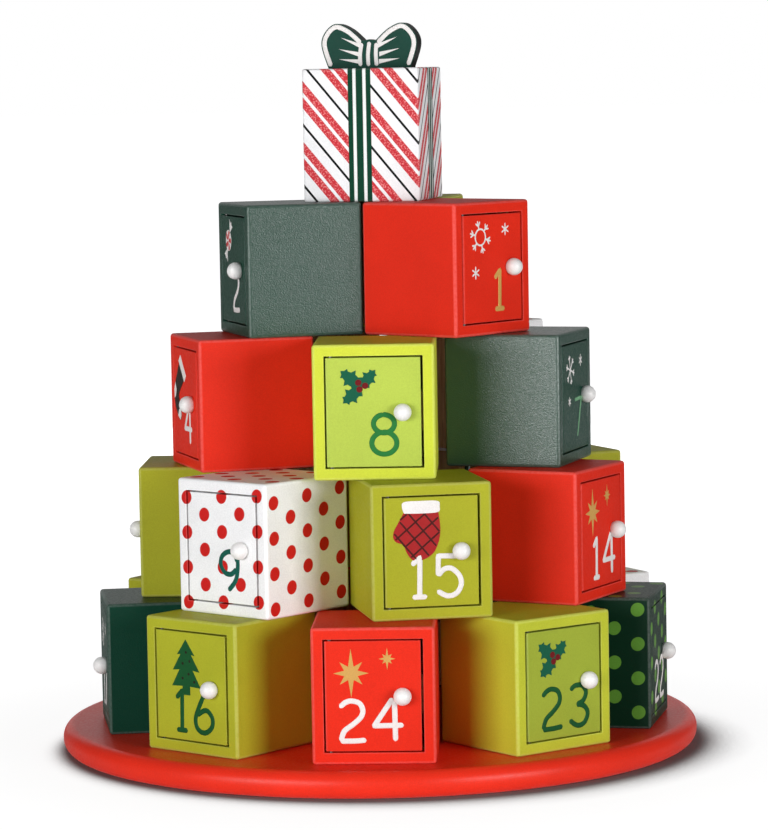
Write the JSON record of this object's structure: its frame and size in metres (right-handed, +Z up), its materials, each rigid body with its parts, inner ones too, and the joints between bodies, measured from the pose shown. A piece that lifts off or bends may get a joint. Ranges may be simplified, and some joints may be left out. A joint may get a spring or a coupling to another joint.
{
  "type": "wooden advent calendar",
  "caption": "Tiered pyramid of painted wooden boxes on a round base, each with a numbered hinged door and ball knob, topped by a striped gift block with a bow.",
  "frame": {"origin": "centre of the base disc's underside", "axes": "+Z up along the stack's axis, -Y toward the viewer of the front, +X to the viewer's right"},
  "size_m": [0.339, 0.339, 0.3831],
  "materials": {
    "base_paint": "satin red paint",
    "red_paint": "satin red paint",
    "green_paint": "satin dark green paint",
    "lime_paint": "satin lime green paint",
    "white_dotted_paint": "satin white paint with red dots",
    "green_dotted_paint": "satin dark green paint with lime dots",
    "gift_paint": "white paint with red and black stripes and a green ribbon",
    "bow_paint": "dark green paint with white lines",
    "knob_paint": "satin white paint",
    "bare_wood": "unpainted softwood",
    "pin_steel": "drawn steel"
  },
  "bodies": {
    "calendar": {"base_disc": "base_paint", "red_boxes": "red_paint", "green_boxes": "green_paint", "lime_boxes": "lime_paint", "white_dotted_boxes": "white_dotted_paint", "green_dotted_boxes": "green_dotted_paint", "gift_block": "gift_paint", "gift_bow": "bow_paint", "hinge_pins": "pin_steel", "door_stops": "bare_wood"},
    "hung_door_01": {"door_01": "red_paint", "knob_01": "knob_paint"},
    "hung_door_02": {"door_02": "green_paint", "knob_02": "knob_paint"},
    "hung_door_03": {"door_03": "lime_paint", "knob_03": "knob_paint"},
    "hung_door_04": {"door_04": "red_paint", "knob_04": "knob_paint"},
    "hung_door_05": {"door_05": "green_dotted_paint", "knob_05": "knob_paint"},
    "hung_door_06": {"door_06": "white_dotted_paint", "knob_06": "knob_paint"},
    "hung_door_07": {"door_07": "green_paint", "knob_07": "knob_paint"},
    "hung_door_08": {"door_08": "lime_paint", "knob_08": "knob_paint"},
    "hung_door_09": {"door_09": "white_dotted_paint", "knob_09": "knob_paint"},
    "hung_door_10": {"door_10": "lime_paint", "knob_10": "knob_paint"},
    "hung_door_11": {"door_11": "red_paint", "knob_11": "knob_paint"},
    "hung_door_12": {"door_12": "green_paint", "knob_12": "knob_paint"},
    "hung_door_13": {"door_13": "lime_paint", "knob_13": "knob_paint"},
    "hung_door_14": {"door_14": "red_paint", "knob_14": "knob_paint"},
    "hung_door_15": {"door_15": "lime_paint", "knob_15": "knob_paint"},
    "hung_door_16": {"door_16": "lime_paint", "knob_16": "knob_paint"},
    "hung_door_17": {"door_17": "green_paint", "knob_17": "knob_paint"},
    "hung_door_18": {"door_18": "lime_paint", "knob_18": "knob_paint"},
    "hung_door_19": {"door_19": "red_paint", "knob_19": "knob_paint"},
    "hung_door_20": {"door_20": "green_paint", "knob_20": "knob_paint"},
    "hung_door_21": {"door_21": "white_dotted_paint", "knob_21": "knob_paint"},
    "hung_door_22": {"door_22": "green_dotted_paint", "knob_22": "knob_paint"},
    "hung_door_23": {"door_23": "lime_paint", "knob_23": "knob_paint"},
    "hung_door_24": {"door_24": "red_paint", "knob_24": "knob_paint"}
  },
  "joints": [
    {"name": "door_01_hinge", "type": "hinge", "parent": "calendar", "child": "hung_door_01", "pos_m": [0.0467, -0.06953, 0.2555], "axis": [0, 0, -1], "range_deg": [0, 100]},
    {"name": "door_02_hinge", "type": "hinge", "parent": "calendar", "child": "hung_door_02", "pos_m": [-0.0764, -0.00212, 0.2555], "axis": [0, 0, -1], "range_deg": [0, 100]},
    {"name": "door_03_hinge", "type": "hinge", "parent": "calendar", "child": "hung_door_03", "pos_m": [0.04127, 0.07155, 0.2555], "axis": [0, 0, -1], "range_deg": [0, 100]},
    {"name": "door_04_hinge", "type": "hinge", "parent": "calendar", "child": "hung_door_04", "pos_m": [-0.10308, -0.00854, 0.1865], "axis": [0, 0, -1], "range_deg": [0, 100]},
    {"name": "door_05_hinge", "type": "hinge", "parent": "calendar", "child": "hung_door_05", "pos_m": [-0.03686, 0.09879, 0.1865], "axis": [0, 0, -1], "range_deg": [0, 100]},
    {"name": "door_06_hinge", "type": "hinge", "parent": "calendar", "child": "hung_door_06", "pos_m": [0.08505, 0.06901, 0.1865], "axis": [0, 0, -1], "range_deg": [0, 100]},
    {"name": "door_07_hinge", "type": "hinge", "parent": "calendar", "child": "hung_door_07", "pos_m": [0.09617, -0.05593, 0.1865], "axis": [0, 0, -1], "range_deg": [0, 100]},
    {"name": "door_08_hinge", "type": "hinge", "parent": "calendar", "child": "hung_door_08", "pos_m": [-0.02174, -0.1037, 0.1865], "axis": [0, 0, -1], "range_deg": [0, 100]},
    {"name": "door_09_hinge", "type": "hinge", "parent": "calendar", "child": "hung_door_09", "pos_m": [-0.09321, -0.08165, 0.1175], "axis": [0, 0, -1], "range_deg": [0, 100]},
    {"name": "door_10_hinge", "type": "hinge", "parent": "calendar", "child": "hung_door_10", "pos_m": [-0.12054, 0.02639, 0.1175], "axis": [0, 0, -1], "range_deg": [0, 100]},
    {"name": "door_11_hinge", "type": "hinge", "parent": "calendar", "child": "hung_door_11", "pos_m": [-0.05317, 0.11352, 0.1175], "axis": [0, 0, -1], "range_deg": [0, 100]},
    {"name": "door_12_hinge", "type": "hinge", "parent": "calendar", "child": "hung_door_12", "pos_m": [0.05695, 0.11516, 0.1175], "axis": [0, 0, -1], "range_deg": [0, 100]},
    {"name": "door_13_hinge", "type": "hinge", "parent": "calendar", "child": "hung_door_13", "pos_m": [0.1269, 0.03009, 0.1175], "axis": [0, 0, -1], "range_deg": [0, 100]},
    {"name": "door_14_hinge", "type": "hinge", "parent": "calendar", "child": "hung_door_14", "pos_m": [0.10444, -0.07787, 0.1175], "axis": [0, 0, -1], "range_deg": [0, 100]},
    {"name": "door_15_hinge", "type": "hinge", "parent": "calendar", "child": "hung_door_15", "pos_m": [0.00604, -0.1268, 0.1175], "axis": [0, 0, -1], "range_deg": [0, 100]},
    {"name": "door_16_hinge", "type": "hinge", "parent": "calendar", "child": "hung_door_16", "pos_m": [-0.11029, -0.09381, 0.0485], "axis": [0, 0, -1], "range_deg": [0, 100]},
    {"name": "door_17_hinge", "type": "hinge", "parent": "calendar", "child": "hung_door_17", "pos_m": [-0.14592, 0.0022, 0.0485], "axis": [0, 0, -1], "range_deg": [0, 100]},
    {"name": "door_18_hinge", "type": "hinge", "parent": "calendar", "child": "hung_door_18", "pos_m": [-0.10728, 0.09637, 0.0485], "axis": [0, 0, -1], "range_deg": [0, 100]},
    {"name": "door_19_hinge", "type": "hinge", "parent": "calendar", "child": "hung_door_19", "pos_m": [-0.01939, 0.14509, 0.0485], "axis": [0, 0, -1], "range_deg": [0, 100]},
    {"name": "door_20_hinge", "type": "hinge", "parent": "calendar", "child": "hung_door_20", "pos_m": [0.07925, 0.12593, 0.0485], "axis": [0, 0, -1], "range_deg": [0, 100]},
    {"name": "door_21_hinge", "type": "hinge", "parent": "calendar", "child": "hung_door_21", "pos_m": [0.1425, 0.04784, 0.0485], "axis": [0, 0, -1], "range_deg": [0, 100]},
    {"name": "door_22_hinge", "type": "hinge", "parent": "calendar", "child": "hung_door_22", "pos_m": [0.14075, -0.05263, 0.0485], "axis": [0, 0, -1], "range_deg": [0, 100]},
    {"name": "door_23_hinge", "type": "hinge", "parent": "calendar", "child": "hung_door_23", "pos_m": [0.07483, -0.12848, 0.0485], "axis": [0, 0, -1], "range_deg": [0, 100]},
    {"name": "door_24_hinge", "type": "hinge", "parent": "calendar", "child": "hung_door_24", "pos_m": [-0.02442, -0.14421, 0.0485], "axis": [0, 0, -1], "range_deg": [0, 100]}
  ]
}
